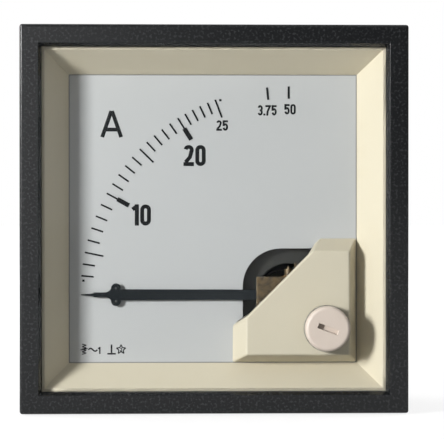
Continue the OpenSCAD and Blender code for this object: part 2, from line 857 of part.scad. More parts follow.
module iron_arms() {
    arm_w = 1.6;
    sheet_t = 0.6;
    color([0.75, 0.6, 0.32]) at_pivot() for (y = [iron_y + 0.5, iron_back - 1.1]) slab(y, y + sheet_t)
        difference() {
            intersection() {
                union() {
                    circle(1.2);
                    translate([0, -arm_w / 2]) square([moving_iron_r, arm_w]);
                }
                circle(moving_iron_r - moving_iron_t);
            }
            circle(spindle_r);
        }
}

module moving_iron() {
    half_deg = 22;
    color([0.5, 0.51, 0.52]) at_pivot() slab(iron_y, iron_back)
        ring_sector(moving_iron_r - moving_iron_t, moving_iron_r, -half_deg, half_deg);
}

module damping_vane() {
    vane_t = 0.25;
    color([0.7, 0.7, 0.71]) at_pivot() slab(former_back + chamber_floor + 0.4, chamber_back - 0.7)
        difference() {
            union() {
                circle(1);
                translate([0, -vane_t / 2]) square([chamber_r - 0.9, vane_t]);
            }
            circle(spindle_r);
        }
}

// ---------------------------------------------------------------- zero setting

// The hairspring's strip as an outline: out along one face and back along the other
module spring_strip() {
    steps = 24 * spring_turns;
    sides = [for (i = [0 : steps]) let (t = i / steps,
        r = spring_in_r + (spring_out_r - spring_in_r) * t, a = stud_deg - 360 * spring_turns * (1 - t))
        [r, a]];
    polygon(concat([for (s = sides) (s[0] + spring_t / 2) * [cos(s[1]), sin(s[1])]],
        [for (i = [steps : -1 : 0]) let (s = sides[i]) (s[0] - spring_t / 2) * [cos(s[1]), sin(s[1])]]));
}

module zero_lever() {
    hub_r = 2.6;
    fork_w = 2 * adjuster_pin_r + 1.9;
    slot_w = 2 * adjuster_pin_r + 0.24;
    slot_from = adjuster_dist + adjuster_throw / 2 - adjuster_pin_r - 0.1;
    fork_end = adjuster_dist + adjuster_throw + adjuster_pin_r + 0.35;
    color([0.76, 0.6, 0.3]) at_pivot() difference() {
        union() {
            slab(lever_y, lever_y + lever_t) difference() {
                union() {
                    circle(hub_r);
                    rotate(adjuster_deg) {
                        translate([0, -0.9]) square([slot_from, 1.8]);
                        translate([slot_from - 1.4, -fork_w / 2]) square([fork_end - slot_from + 1.4, fork_w]);
                    }
                    rotate(stud_deg) translate([0, -0.6]) square([spring_out_r, 1.2]);
                    rotate(stud_deg) translate([spring_out_r, 0]) circle(0.6);
                }
                circle(bearing_r + 0.03);
                rotate(adjuster_deg) translate([slot_from, -slot_w / 2])
                    square([fork_end - slot_from + over, slot_w]);
            }
            at_polar(spring_out_r, stud_deg) disc(0.3, lever_y + lever_t, spring_y + spring_w);
        }
        slab(spring_y, spring_y + spring_w + over) spring_strip();
    }
}

module hairspring() {
    color([0.72, 0.55, 0.3]) at_pivot() slab(spring_y, spring_y + spring_w) spring_strip();
}

module zero_adjuster() {
    head_y = window_y - 0.1;
    front_y = head_y - adjuster_head_t;
    edge = 0.7;
    collar_r = adjuster_shaft_r + 0.35;
    collar_y = cover_back + 0.05;
    collar_back = lever_y - 0.1;
    slot = [adjuster_r * 0.93, 0.95];
    slot_deg = -21;
    arc = [for (i = [0 : 6]) let (a = 90 * i / 6)
        [adjuster_r - edge + edge * sin(a), front_y + edge - edge * cos(a)]];
    color([0.9, 0.82, 0.76]) at_pivot() at_points([adjuster_at]) {
        difference() {
            turned(concat([[0, front_y]], arc, [[adjuster_r, head_y], [adjuster_body_r, head_y],
                [adjuster_body_r, cover_y - 0.05], [adjuster_shaft_r, cover_y - 0.05],
                [adjuster_shaft_r, collar_y], [collar_r, collar_y],
                [adjuster_shaft_r, collar_back], [0, collar_back]]));
            slab(front_y - over, front_y + 1.1) rotate(slot_deg) square(slot, center = true);
        }
        at_polar(adjuster_throw, adjuster_deg) disc(adjuster_pin_r, collar_back, lever_y + lever_t + 0.02);
    }
}

// ---------------------------------------------------------------- assembly

bezel();
window();
window_gasket();
adjuster_seal();
dial_surround();
corner_cover();
dial_plate();
scale_marks();
dial_screws();
carrier_frame();
carrier_screws();
case_shell();
coil_former();
coil_winding();
former_screws();
fixed_iron();
bridge_pillars();
front_bridge();
bridge_screws();
stop_pins();
front_bearing_screw();
rear_bearing_screw();
bearing_jewels();
damping_chamber();
chamber_lid();
chamber_screws();
terminal_stud_left();
terminal_stud_right();
terminal_washers();
spring_washers();
terminal_nuts();
spindle();
spring_collet();
pointer_hub();
pointer();
balance_arms();
balance_weights();
iron_arms();
moving_iron();
damping_vane();
zero_lever();
hairspring();
zero_adjuster();
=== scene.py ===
import math

import bpy
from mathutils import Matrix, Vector


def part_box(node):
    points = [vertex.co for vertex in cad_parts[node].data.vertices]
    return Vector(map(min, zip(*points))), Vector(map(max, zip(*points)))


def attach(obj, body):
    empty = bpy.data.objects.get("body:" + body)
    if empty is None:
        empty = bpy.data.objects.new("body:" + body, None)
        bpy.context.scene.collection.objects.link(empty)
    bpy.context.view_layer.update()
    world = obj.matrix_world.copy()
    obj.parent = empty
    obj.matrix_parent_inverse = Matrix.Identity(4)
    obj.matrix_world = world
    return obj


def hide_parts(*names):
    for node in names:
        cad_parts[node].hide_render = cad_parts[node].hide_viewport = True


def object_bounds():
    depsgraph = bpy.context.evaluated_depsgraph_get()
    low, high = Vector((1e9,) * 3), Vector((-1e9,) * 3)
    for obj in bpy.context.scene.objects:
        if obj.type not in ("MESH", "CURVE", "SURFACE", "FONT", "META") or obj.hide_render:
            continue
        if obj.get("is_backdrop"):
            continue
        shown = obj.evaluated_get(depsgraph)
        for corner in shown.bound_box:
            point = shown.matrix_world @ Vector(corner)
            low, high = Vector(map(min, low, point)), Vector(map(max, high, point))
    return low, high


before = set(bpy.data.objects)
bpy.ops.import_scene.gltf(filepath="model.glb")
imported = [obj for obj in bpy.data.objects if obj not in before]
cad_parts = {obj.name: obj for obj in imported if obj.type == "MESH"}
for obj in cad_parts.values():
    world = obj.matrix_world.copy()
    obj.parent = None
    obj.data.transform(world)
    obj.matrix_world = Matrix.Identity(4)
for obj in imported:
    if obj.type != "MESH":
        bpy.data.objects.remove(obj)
cad_low, cad_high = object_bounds()
MM = 0.001


# ---------------------------------------------------------------- bezel
# A square frame moulded in black ABS with a fine spark-eroded grain. Its front
# edges are rounded, and handling has rubbed the grain a little brighter there.
bezel_black = (0.0062, 0.0070, 0.0076)
bezel_rubbed = (0.034, 0.035, 0.037)
rub_width = 0.5 * MM     # how far in from the outer edge handling has rubbed it


class Wire:
    """One output of a shader node. Sums on it add Math nodes beside that node."""

    def __init__(self, nodes, socket):
        self.nodes = nodes
        self.socket = socket

    def out(self, name):
        return Wire(self.nodes, self.socket.node.outputs[name])

    def sum(self, operation, first, second=0.0):
        return self.nodes.node("ShaderNodeMath", {"operation": operation}, {0: first, 1: second})

    def __add__(self, other):
        return self.sum("ADD", self, other)

    def __sub__(self, other):
        return self.sum("SUBTRACT", self, other)

    def __rsub__(self, other):
        return self.sum("SUBTRACT", other, self)

    def __mul__(self, other):
        return self.sum("MULTIPLY", self, other)

    def __pow__(self, other):
        return self.sum("POWER", self, other)

    def __abs__(self):
        return self.sum("ABSOLUTE", self)

    __radd__ = __add__
    __rmul__ = __mul__


class Nodes:
    """The nodes of one material, or of the world."""

    def __init__(self, tree):
        self.tree = tree

    def node(self, kind, settings=None, sockets=None):
        node = self.tree.nodes.new(kind)
        for setting, value in (settings or {}).items():
            setattr(node, setting, value)
        for socket, value in (sockets or {}).items():
            if isinstance(value, Wire):
                self.tree.links.new(value.socket, node.inputs[socket])
            else:
                node.inputs[socket].default_value = value
        return Wire(self, node.outputs[0])

    def ease(self, value, start, stop, low=0.0, high=1.0):
        """A smooth step from low to high as value goes from start to stop."""
        sockets = {0: value, 1: start, 2: stop, 3: low, 4: high}
        return self.node("ShaderNodeMapRange", {"interpolation_type": "SMOOTHSTEP"}, sockets)

    def blend(self, mask, first, second):
        """The first shader where mask is 0 and the second where it is 1."""
        return self.node("ShaderNodeMixShader", None, {0: mask, 1: first, 2: second})

    def show(self, shader, output="Material Output"):
        """Makes a shader the one that is seen."""
        self.tree.links.new(shader.socket, self.tree.nodes[output].inputs["Surface"])


class Finish(Nodes):
    """The finish of one kind of surface: a Principled shader and the nodes that feed it."""

    def __init__(self, name, colour, roughness, fixed=None):
        self.material = bpy.data.materials.new(name)
        self.material.use_nodes = True
        super().__init__(self.material.node_tree)
        self.shader = self.tree.nodes["Principled BSDF"]
        self.shader.inputs["Base Color"].default_value = (*colour, 1)
        self.shader.inputs["Roughness"].default_value = roughness
        for socket, value in (fixed or {}).items():
            self.shader.inputs[socket].default_value = value
        self.look = Wire(self, self.shader.outputs[0])
        self.place = self.node("ShaderNodeTexCoord").out("Object")

    def grain(self, size, detail=2.0, place=None):
        """Noise of a given size in millimetres, from 0 to 1."""
        sockets = {"Vector": place or self.place, "Scale": 1 / (size * MM), "Detail": detail}
        return self.node("ShaderNodeTexNoise", None, sockets)

    def stretched(self, x, y, z):
        """Coordinates that draw a grain out along an axis."""
        return self.node("ShaderNodeMapping", None, {"Vector": self.place, "Scale": (x, y, z)})

    def off_centre(self):
        """How far a place lies from the middle of the front, across or up, whichever is more."""
        at = self.node("ShaderNodeSeparateXYZ", None, {0: self.place})
        across, up = abs(at.out("X")), abs(at.out("Z"))
        return self.node("ShaderNodeMath", {"operation": "MAXIMUM"}, {0: across, 1: up})

    def tint(self, mask, first, second):
        """A colour that goes from first to second as mask goes from 0 to 1."""
        first, second = (c if isinstance(c, Wire) else (*c, 1) for c in (first, second))
        sockets = {0: mask, 6: first, 7: second}
        return self.node("ShaderNodeMix", {"data_type": "RGBA"}, sockets).out(2)

    def feed(self, socket, wire):
        self.tree.links.new(wire.socket, self.shader.inputs[socket])

    def relief(self, height, depth, edge=0.0):
        """Bump of a given depth over edges softened by a radius, both in millimetres."""
        sockets = {"Height": height, "Distance": depth * MM}
        if edge:
            radius = {"Radius": edge * MM}
            sockets["Normal"] = self.node("ShaderNodeBevel", {"samples": 4}, radius)
        self.feed("Normal", self.node("ShaderNodeBump", None, sockets))

    def cover(self, *nodes):
        for node in nodes:
            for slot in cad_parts[node].material_slots:
                slot.material = self.material


bezel_plastic = Finish("bezel_plastic", bezel_black, 0.15, {"Specular IOR Level": 0.25})
edge_gap = cad_high.x - bezel_plastic.off_centre()
touched = bezel_plastic.ease(bezel_plastic.grain(3.0, 4.0), 0.42, 0.62)
rub = bezel_plastic.ease(edge_gap, rub_width, 0.0) * touched
fine = bezel_plastic.grain(0.22, 3.0)
cloudy = bezel_plastic.grain(9.0, 3.0)
sparkle = bezel_plastic.ease(bezel_plastic.grain(0.5, 2.5), 0.50, 0.68)
bezel_plastic.feed("Base Color", bezel_plastic.tint(
    rub * 0.5 + cloudy * 0.06 + sparkle * 0.6, bezel_black, bezel_rubbed))
bezel_plastic.feed("Roughness", 0.12 + fine * 0.06 + cloudy * 0.04)
bezel_plastic.relief(fine + bezel_plastic.grain(0.5, 1.0) * 0.6, 0.0060, 0.12)
bezel_plastic.cover("bezel")


# ---------------------------------------------------------------- window
# A flat pane of clear, coated acrylic, cut to the bezel's pocket with a round hole
# for the zero adjuster. The coating keeps its glare low, and it carries a little dust.
square_glare = 0.003     # share mirrored when seen square on
graze_glare = 0.8        # and how much more of the rest when seen edge on

window_glass = Finish("window_glass", (0.9, 0.93, 0.95), 0.03, {"Metallic": 1.0})
dust = window_glass.ease(window_glass.grain(0.5, 2.0), 0.7, 0.85)
window_glass.feed("Roughness", 0.03 + dust * 0.2)
graze = window_glass.node("ShaderNodeLayerWeight", None, {"Blend": 0.5}).out("Facing")
glare = square_glare + graze ** 5 * (1 - square_glare) * graze_glare
clear = window_glass.node("ShaderNodeBsdfTransparent", None, {"Color": (0.985, 0.99, 0.99, 1)})
window_glass.show(window_glass.blend(glare + dust * 0.006, clear, window_glass.look))
window_glass.cover("window")


# ---------------------------------------------------------------- gasket
# A flat frame die-cut from black rubber, which presses the window forward against the
# bezel's lip. It is dull and slightly dusty.
rubber_black = (0.012, 0.012, 0.012)
rubber_bloom = (0.05, 0.049, 0.046)

black_rubber = Finish("black_rubber", rubber_black, 0.8)
bloom = black_rubber.ease(black_rubber.grain(1.6, 5.0), 0.45, 0.8)
black_rubber.feed("Base Color", black_rubber.tint(bloom, rubber_black, rubber_bloom))
black_rubber.feed("Roughness", 0.72 + bloom * 0.2)
black_rubber.relief(black_rubber.grain(0.15, 2.0), 0.02, 0.08)
black_rubber.cover("window_gasket")


# ---------------------------------------------------------------- adjuster seal
# A small moulded ring of milky silicone that closes the gap between the window's hole
# and the adjuster. It picks up a little grey dirt at its edge.
silicone = (0.300, 0.285, 0.245)
silicone_dirty = (0.120, 0.112, 0.095)

milky_silicone = Finish("milky_silicone", silicone, 0.5, {"Specular IOR Level": 0.3})
dirt = milky_silicone.ease(milky_silicone.grain(0.9, 4.0), 0.45, 0.75)
milky_silicone.feed("Base Color", milky_silicone.tint(dirt, silicone, silicone_dirty))
milky_silicone.feed("Roughness", 0.45 + dirt * 0.2)
milky_silicone.relief(milky_silicone.grain(0.2, 2.0), 0.01, 0.06)
milky_silicone.cover("adjuster_seal")


# ---------------------------------------------------------------- dial surround
# The sloping frame round the dial is moulded in cream polystyrene. It has a fine matt
# grain, faint flow marks and aged, warmer patches.
cream = (0.600, 0.548, 0.428)
cream_aged = (0.520, 0.450, 0.310)

cream_plastic = Finish("cream_plastic", cream, 0.5, {"Specular IOR Level": 0.4})
flow = cream_plastic.grain(14.0, 4.0, cream_plastic.stretched(1.0, 1.0, 0.35))
speck = cream_plastic.grain(0.35, 3.0)
aged = cream_plastic.ease(cream_plastic.grain(6.0, 4.0), 0.5, 0.85)
cream_plastic.feed("Base Color", cream_plastic.tint(
    aged * 0.22 + flow * 0.18 + speck * 0.06, cream, cream_aged))
cream_plastic.feed("Roughness", 0.42 + speck * 0.12 + flow * 0.06)
cream_plastic.relief(speck + flow * 0.8, 0.012, 0.12)
cream_plastic.cover("dial_surround")


# ---------------------------------------------------------------- corner cover
# The box over the bearing is a moulding of its own from the same granules. Its colours are the
# surround's darkened by about a tenth, as painted shade for its front face. All its edges are
# softly rounded.
shaded_cover_cream = (0.545, 0.500, 0.392)
shaded_cover_aged = (0.470, 0.410, 0.295)
cover_rounding = 0.35
cover_rounded_to = -1.7      # edges that start in front of this depth are rounded
long_edge = 0.9              # and only those longer than this
merge_within = 1e-6          # metres between corners that are one
flat_within = math.radians(0.5)
smooth_within = math.radians(30)


def remodelled(node, name, body, finish):
    """A copy of a solid with its triangles merged into whole faces, which takes its place."""
    bpy.ops.object.select_all(action="DESELECT")
    piece = bpy.data.objects.new(name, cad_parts[node].data.copy())
    bpy.context.scene.collection.objects.link(piece)
    bpy.context.view_layer.objects.active = piece
    piece.select_set(True)
    bpy.ops.object.mode_set(mode="EDIT")
    bpy.ops.mesh.select_all(action="SELECT")
    bpy.ops.mesh.remove_doubles(threshold=merge_within)
    bpy.ops.mesh.dissolve_limited(angle_limit=flat_within)
    bpy.ops.mesh.select_all(action="DESELECT")
    bpy.ops.object.mode_set(mode="OBJECT")
    piece.data.materials.clear()
    piece.data.materials.append(finish.material)
    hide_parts(node)
    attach(piece, body)
    return piece


def rounded(piece, radius, depth, segments=3):
    """Rounds a piece's long edges that start in front of a depth, both in millimetres."""
    bpy.context.view_layer.objects.active = piece
    places = [vertex.co / MM for vertex in piece.data.vertices]
    for edge in piece.data.edges:
        first, second = (places[i] for i in edge.vertices)
        starts = min(first.y, second.y)
        edge.select = starts < depth and (first - second).length > long_edge
    bpy.ops.object.mode_set(mode="EDIT")
    bpy.ops.mesh.select_mode(type="EDGE")
    bpy.ops.mesh.bevel(offset=radius * MM, segments=segments, clamp_overlap=False)
    bpy.ops.mesh.select_all(action="DESELECT")
    bpy.ops.object.mode_set(mode="OBJECT")
    bpy.ops.object.shade_smooth_by_angle(angle=smooth_within)
    flat = piece.modifiers.new("flat_faces", "WEIGHTED_NORMAL")
    flat.weight = 100
    flat.keep_sharp = True
    bpy.ops.object.modifier_apply(modifier=flat.name)


cover_plastic = Finish("cover_plastic", shaded_cover_cream, 0.5, {"Specular IOR Level": 0.4})
flow = cover_plastic.grain(9.0, 4.0, cover_plastic.stretched(1.0, 1.0, 0.4))
speck = cover_plastic.grain(0.35, 3.0)
cover_plastic.feed("Base Color", cover_plastic.tint(
    flow * 0.3 + speck * 0.06, shaded_cover_cream, shaded_cover_aged))
cover_plastic.feed("Roughness", 0.42 + speck * 0.12 + flow * 0.06)
cover_plastic.relief(speck + flow * 0.8, 0.012)

cover = remodelled("corner_cover", "cover_moulding", "housing", cover_plastic)
rounded(cover, cover_rounding, cover_rounded_to)


# ---------------------------------------------------------------- dial plate
# A sheet of aluminium sprayed matt white, so it is slightly orange-peeled and varies by a shade
# across its face.
# A thin dark line along the surround's edge is painted shadow, where the surround's foot shades
# the dial.
dial_white = (0.450, 0.456, 0.455)
dial_shade = (0.405, 0.412, 0.412)
dial_edge_shadow = (0.070, 0.068, 0.060)
visible_half = 27.1 * MM     # half the width that shows inside the surround
edge_shadow_width = 0.3 * MM       # the painted shadow line along that edge

dial_sheet = Finish("dial_sheet", dial_white, 0.62, {"Specular IOR Level": 0.3})
drift = dial_sheet.grain(30.0, 1.0)
peel = dial_sheet.grain(0.6, 2.0)
# Painted shadow: the dial darkens within this width of the surround's edge.
edge_shadow = dial_sheet.ease(dial_sheet.off_centre(), visible_half - edge_shadow_width, visible_half)
coated = dial_sheet.tint(drift * 0.7 + peel * 0.1, dial_white, dial_shade)
dial_sheet.feed("Base Color", dial_sheet.tint(edge_shadow * 0.75, coated, dial_edge_shadow))
dial_sheet.feed("Roughness", 0.58 + peel * 0.1)
dial_sheet.relief(peel, 0.006, 0.05)
dial_sheet.cover("dial_plate")


# ---------------------------------------------------------------- printed scale and lettering
# Matt black ink, screen printed in one pass: the scale's marks, the numerals, the
# unit, and the usual small signs for the movement, the supply, the mounting and the test.
ink_black = (0.0085, 0.0095, 0.0102)
ink_grey = (0.018, 0.019, 0.020)
ink_height = 0.03
ink_spread = 0.045           # how far the corners of each mark run past its stencil
dial_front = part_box("dial_plate")[0].y
letter = (4.91, 0.76)        # height and stroke of the unit
big = (4.0, 0.78)            # of the scale's main numerals
small = (1.98, 0.39)         # and of the small ones
star_radii = (0.92, 0.42)    # the test star's points and notches
dot_width = 0.44
dots = ((38.7, 3.9), (38.75, 70.6))      # their distance from the pivot, and degrees up
pivot = (14.25, -14.25)      # the spindle's place, from the middle of the bezel

black_ink = Finish("black_ink", ink_black, 0.6, {"Specular IOR Level": 0.08})
thin_spots = black_ink.ease(black_ink.grain(0.25, 4.0), 0.4, 0.8)
black_ink.feed("Base Color", black_ink.tint(thin_spots, ink_black, ink_grey))
black_ink.feed("Roughness", 0.55 + thin_spots * 0.15)
black_ink.relief(black_ink.grain(0.08, 2.0), 0.004)

remodelled("scale_marks", "printed_marks", "housing", black_ink)
bpy.ops.object.mode_set(mode="EDIT")
bpy.ops.mesh.select_all(action="SELECT")
bpy.ops.transform.shrink_fatten(value=ink_spread * MM)
bpy.ops.object.mode_set(mode="OBJECT")


def bow(x, z, rx, rz, start, stop, steps=16):
    """Points on an arc, from start to stop in degrees, anticlockwise from the right."""
    turns = [math.radians(start + (stop - start) * i / steps) for i in range(steps + 1)]
    return [(x + rx * math.cos(t), z + rz * math.sin(t)) for t in turns]


def numeral(sign, w, h, s):
    """The strokes of one narrow numeral, w wide and h high, whose lines are s wide."""
    e = s / 2
    r = (w - s) / 2
    mid = w / 2
    if sign == "0":
        top, foot = bow(mid, h - e - r, r, r, 0, 180), bow(mid, e + r, r, r, 180, 360)
        return [top + foot + [(w - e, h - e - r)]]
    if sign == "1":
        return [[(w - e, 0), (w - e, h)], [(w - e * 1.3, h - e * 1.1), (e * 0.2, h * 0.76)]]
    if sign == "2":
        bowl = bow(mid, h - e - r, r, r, 168, -28)
        return [bowl + [(w * 0.62, h * 0.42), (e, s * 0.95)], [(0, e), (w, e)]]
    if sign == "3":
        bowl = (h * 0.52 - e) / 2
        return [bow(mid, h - e - bowl, r, bowl, 165, -80), bow(mid, e + bowl, r, bowl, 80, -165),
                [(mid * 0.8, h / 2), (mid * 1.25, h / 2)]]
    if sign == "5":
        bowl = h * 0.31 - e * 0.5
        return [[(w * 0.97, h - e), (e * 0.4, h - e)], [(e * 1.05, h), (e * 1.05, h * 0.46)],
                [(e * 1.1, h * 0.5)] + bow(mid, e + bowl, r, bowl, 105, -165)]
    if sign == "7":
        return [[(0, h - e), (w, h - e)],
                [(w - e, h - s * 0.6), (w * 0.42, h * 0.42), (w * 0.32, 0)]]
    if sign == ".":
        return [[(0, e), (s, e)]]
    if sign == "A":
        return [[(e * 0.75, 0), (mid - e * 0.15, h)], [(w - e * 0.75, 0), (mid + e * 0.15, h)],
                [(w * 0.2, h * 0.29), (w * 0.8, h * 0.29)]]


def inked(name, strokes, s, x, z):
    """Prints strokes of width s on the dial, with their lower left corner at x and z."""
    bpy.ops.object.select_all(action="DESELECT")
    bpy.ops.curve.primitive_bezier_curve_add()
    line = bpy.context.object
    line.name = name
    line.data.splines.clear()
    for points in strokes:
        spline = line.data.splines.new("POLY")
        closed = math.dist(points[0], points[-1]) < 1e-6
        points = points[:-1] if closed else points
        spline.points.add(len(points) - 1)
        for knot, (px, pz) in zip(spline.points, points):
            knot.co = ((x + px) * MM, 0, (z + pz) * MM, 1)
        spline.use_cyclic_u = closed
    line.data.bevel_depth = s / 2 * MM
    line.data.bevel_resolution = 3
    line.data.use_fill_caps = True
    bpy.ops.object.convert(target="MESH")
    sign = bpy.context.object
    flat = ink_height / (s / 2)
    for vertex in sign.data.vertices:
        vertex.co.y = dial_front + vertex.co.y * flat
    sign.data.materials.clear()
    sign.data.materials.append(black_ink.material)
    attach(sign, "housing")


def worded(name, text, widths, gap, size, x, z):
    """Prints a number, each of its signs with a width of its own."""
    h, s = size
    for i, (sign, w) in enumerate(zip(text, widths)):
        inked(f"{name}_{i + 1}", numeral(sign, w, h, s), s, x, z)
        x += w + gap


inked("unit_letter", numeral("A", 4.14, *letter), letter[1], -21.12, 15.34)
worded("numeral_10", "10", (1.3, 2.05), 0.22, big, -15.24, -1.29)
worded("numeral_20", "20", (1.95, 2.0), 0.25, big, -5.56, 9.90)
worded("numeral_25", "25", (1.05, 1.05), 0.14, small, 0.60, 16.55)
worded("numeral_overload", "3.75", (1.0, 0.28, 1.05, 1.0), 0.1, small, 8.38, 19.42)
worded("numeral_50", "50", (1.02, 1.02), 0.12, small, 13.43, 19.62)


def sharp(points):
    """One stroke for each side of a line, so that its sharp corners stay full."""
    return [list(pair) for pair in zip(points, points[1:])]


turns = [(1.1 if i % 2 else 0.3, 0.12 + 1.95 * i / 8) for i in range(9)]
inked("moving_iron_sign", sharp(turns) + [[(0.0, 0.95), (1.35, 1.2)]], 0.2, -24.93, -25.6)
wave = [(1.7 * i / 20, 0.26 * math.sin(2 * math.pi * i / 20)) for i in range(21)]
inked("alternating_sign", [wave], 0.28, -23.45, -24.62)
inked("class_numeral", numeral("1", 0.5, 1.3, 0.28), 0.28, -21.66, -25.4)
inked("upright_sign", [[(0, 0.12), (1.6, 0.12)], [(0.8, 0.12), (0.8, 1.85)]], 0.3, -19.89, -25.5)
star = [(0.95 + star_radii[i % 2] * math.sin(math.pi * i / 5),
         0.92 + star_radii[i % 2] * math.cos(math.pi * i / 5)) for i in range(11)]
inked("test_star", sharp(star), 0.22, -18.25, -25.5)
inked("test_numeral", numeral("2", 0.42, 0.72, 0.17), 0.17, -17.51, -25.0)

dash = [(-dot_width / 2, 0), (dot_width / 2, 0)]
for i, (reach, deg) in enumerate(dots):
    dot_x = pivot[0] - reach * math.cos(math.radians(deg))
    dot_z = pivot[1] + reach * math.sin(math.radians(deg))
    inked(f"print_dot_{i + 1}", [dash], dot_width, dot_x, dot_z)


# ---------------------------------------------------------------- plated steel small parts
# The screws, washers and pins are turned or stamped from steel and zinc plated. The
# plating is grey and slightly mottled, with fine turning marks on the heads.
zinc_bright = (0.56, 0.56, 0.54)
zinc_dull = (0.36, 0.36, 0.34)

zinc_steel = Finish("zinc_steel", zinc_bright, 0.35, {"Metallic": 1.0})
mottle = zinc_steel.grain(0.8, 4.0)
turning = zinc_steel.grain(0.12, 2.0, zinc_steel.stretched(0.4, 3.0, 0.4))
zinc_steel.feed("Base Color", zinc_steel.tint(
    zinc_steel.ease(mottle, 0.4, 0.75), zinc_bright, zinc_dull))
zinc_steel.feed("Roughness", 0.26 + mottle * 0.2 + turning * 0.08)
zinc_steel.relief(turning, 0.01, 0.06)
zinc_steel.cover("dial_screws", "carrier_screws", "former_screws", "bridge_screws", "stop_pins",
                 "chamber_screws", "terminal_washers", "spring_washers", "spindle")


# ---------------------------------------------------------------- carrier, former and chamber
# The dial's carrier, the coil former and the damping chamber are moulded in black
# phenolic. It is dull, with pale filler specks and a scuffed look on its flat faces.
phenolic = (0.0132, 0.0132, 0.0108)
phenolic_scuffed = (0.044, 0.042, 0.031)

black_moulding = Finish("black_moulding", phenolic, 0.55)
filler = black_moulding.ease(black_moulding.grain(0.2, 3.0), 0.55, 0.8)
scuff = black_moulding.ease(black_moulding.grain(2.5, 6.0), 0.5, 0.75)
black_moulding.feed("Base Color", black_moulding.tint(
    filler * 0.3 + scuff * 0.5, phenolic, phenolic_scuffed))
black_moulding.feed("Roughness", 0.48 + scuff * 0.2 + filler * 0.05)
black_moulding.relief(black_moulding.grain(0.3, 3.0), 0.015, 0.1)
black_moulding.cover("carrier_frame", "coil_former", "damping_chamber", "chamber_lid")


# ---------------------------------------------------------------- case
# A deep square box moulded in black glass-filled plastic, snapped into the bezel. The
# walls have an eroded grain, faint streaks along the draw and duller, dusty ledges.
case_black = (0.016, 0.0165, 0.0175)
case_dusty = (0.052, 0.051, 0.049)

case_plastic = Finish("case_plastic", case_black, 0.55, {"Specular IOR Level": 0.4})
pits = case_plastic.grain(0.28, 3.0)
streaks = case_plastic.grain(1.6, 3.0, case_plastic.stretched(1.0, 0.08, 1.0))
ledge_dust = case_plastic.ease(case_plastic.grain(7.0, 6.0), 0.48, 0.8)
case_plastic.feed("Base Color", case_plastic.tint(
    pits * 0.14 + streaks * 0.16 + ledge_dust * 0.3, case_black, case_dusty))
case_plastic.feed("Roughness", 0.48 + pits * 0.12 + ledge_dust * 0.12)
case_plastic.relief(pits + streaks * 0.4, 0.02, 0.15)
case_plastic.cover("case_shell")


# ---------------------------------------------------------------- coil
# A few turns of thick, enamelled copper wire. The enamel is glossy amber over the
# copper, darker where it was bent and drawn in fine lines along the wire.
copper_bright = (0.62, 0.25, 0.10)
copper_dark = (0.33, 0.12, 0.05)

copper_wire = Finish("copper_wire", copper_bright, 0.28,
                     {"Metallic": 1.0, "Coat Roughness": 0.08})
drawn = copper_wire.grain(0.9, 4.0)
copper_wire.feed("Base Color", copper_wire.tint(
    copper_wire.ease(drawn, 0.35, 0.75), copper_bright, copper_dark))
copper_wire.feed("Roughness", 0.22 + drawn * 0.18)
copper_wire.feed("Coat Weight", 0.5 + copper_wire.grain(2.0, 2.0) * 0.4)
copper_wire.relief(copper_wire.grain(0.3, 3.0), 0.01)
copper_wire.cover("coil_winding")


# ---------------------------------------------------------------- irons
# The fixed and the moving iron are strips of annealed soft iron: dark grey, with a
# bluish oxide bloom from the furnace and a faint rolled grain.
iron_grey = (0.24, 0.24, 0.25)
iron_oxide = (0.11, 0.115, 0.14)

soft_iron = Finish("soft_iron", iron_grey, 0.4, {"Metallic": 1.0})
oxide = soft_iron.ease(soft_iron.grain(1.2, 5.0), 0.4, 0.75)
rolled = soft_iron.grain(0.15, 2.0, soft_iron.stretched(1.0, 0.1, 1.0))
soft_iron.feed("Base Color", soft_iron.tint(oxide, iron_grey, iron_oxide))
soft_iron.feed("Roughness", 0.34 + oxide * 0.16 + rolled * 0.06)
soft_iron.relief(rolled, 0.008, 0.04)
soft_iron.cover("fixed_iron", "moving_iron")


# ---------------------------------------------------------------- brass parts
# The bridge's pillars, the bearing screws, the nuts and the rotor's fittings are
# brass: stamped or turned, with fine tool marks and a brown tarnish in patches.
brass_clean = (0.60, 0.43, 0.19)
brass_tarnish = (0.30, 0.19, 0.08)

brass = Finish("brass", brass_clean, 0.34, {"Metallic": 1.0})
tarnish = brass.ease(brass.grain(1.4, 5.0), 0.42, 0.72)
tooling = brass.grain(0.14, 2.0, brass.stretched(1.0, 0.3, 1.0))
brass.feed("Base Color", brass.tint(tarnish * 0.8 + tooling * 0.1, brass_clean, brass_tarnish))
brass.feed("Roughness", 0.26 + tarnish * 0.2 + tooling * 0.08)
brass.relief(tooling, 0.01, 0.05)
brass.cover("bridge_pillars", "front_bearing_screw", "rear_bearing_screw", "terminal_nuts",
            "spring_collet", "pointer_hub", "iron_arms")


# ---------------------------------------------------------------- bridge, lever and balance
# The bridge, the lever in front of it and the rotor's balance arms are unlacquered brass that
# has gone brown in patches. Their colours are far darker than clean brass: partly that tarnish,
# partly painted shade for the shadow they lie in under the corner cover. The bridge is stamped,
# so its edges are rounded.
shaded_bridge_gold = (0.106, 0.073, 0.034)
shaded_tarnish_brown = (0.024, 0.019, 0.014)
bridge_rounding = 0.1
bridge_rounded_to = 0.2

aged_brass = Finish("aged_brass", shaded_tarnish_brown, 0.5, {"Metallic": 0.5})
patina = aged_brass.ease(aged_brass.grain(1.1, 5.0), 0.40, 0.66)
press = aged_brass.grain(0.12, 2.0, aged_brass.stretched(1.0, 1.0, 0.15))
aged_brass.feed("Base Color", aged_brass.tint(
    patina * 0.85 + press * 0.15, shaded_bridge_gold, shaded_tarnish_brown))
aged_brass.feed("Roughness", 0.34 + patina * 0.25 + press * 0.06)
aged_brass.relief(patina * 0.6 + press, 0.02)
aged_brass.cover("zero_lever", "balance_arms", "balance_weights")

bridge = remodelled("front_bridge", "bridge_plate", "housing", aged_brass)
rounded(bridge, bridge_rounding, bridge_rounded_to, segments=2)


